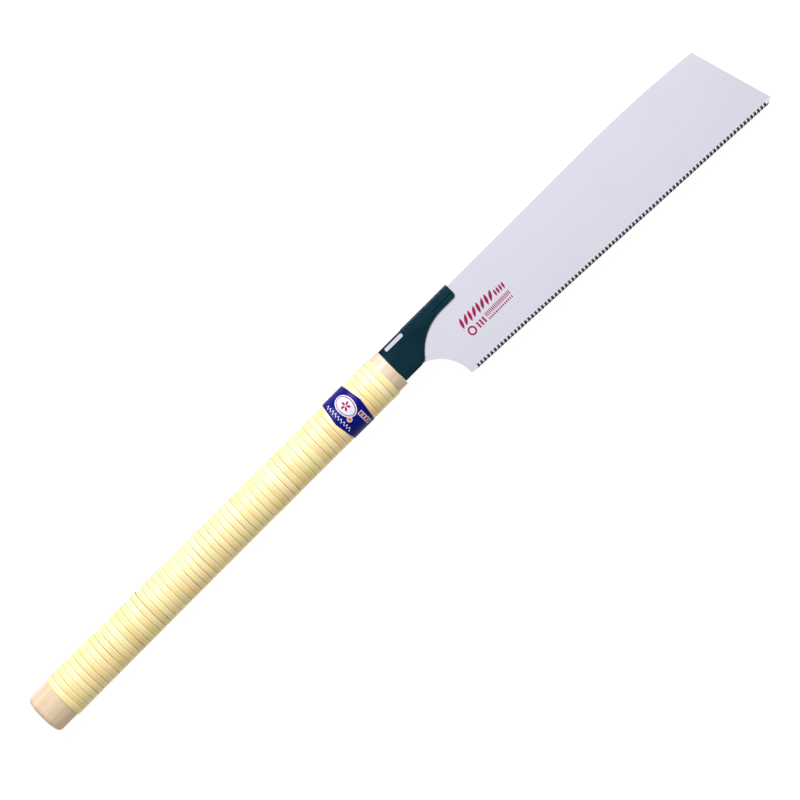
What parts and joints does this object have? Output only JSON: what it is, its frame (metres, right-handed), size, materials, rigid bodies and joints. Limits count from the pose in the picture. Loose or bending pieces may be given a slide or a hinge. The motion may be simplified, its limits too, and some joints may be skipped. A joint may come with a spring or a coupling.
{
  "type": "hand saw",
  "caption": "Pull saw with a thin hooked exchange blade that swings out of a folded steel holder, on a long oval wooden handle bound with a flat cane strip.",
  "frame": {"origin": "under the middle of the saw's bounding box, on the surface that it lies on", "axes": "+X from the butt to the blade's tip, +Y towards the blade's spine, -Y towards the teeth, +Z the blade's normal on the labelled side"},
  "size_m": [0.632, 0.0684, 0.0256],
  "materials": {
    "blade_steel": "fine matt ground, with hardened dark teeth",
    "holder_enamel": "satin dark teal enamel",
    "pin_steel": "plain drawn steel",
    "handle_wood": "sanded, unvarnished pale wood",
    "rattan_cane": "natural satin cane",
    "label_paper": "coated printed paper"
  },
  "bodies": {
    "handle": {"blade_holder": "holder_enamel", "hook_pin": "pin_steel", "tang_spacer": "pin_steel", "handle_half_near": "handle_wood", "handle_half_far": "handle_wood", "handle_pin_1": "pin_steel", "handle_pin_2": "pin_steel", "rattan_strip": "rattan_cane", "paper_label": "label_paper"},
    "blade": {"saw_blade": "blade_steel"}
  },
  "joints": [
    {"name": "blade_release", "type": "hinge", "parent": "handle", "child": "blade", "pos_m": [0.01935, 0.02046, 0.0128], "axis": [0, 0, -1], "range_deg": [0, 30]}
  ]
}
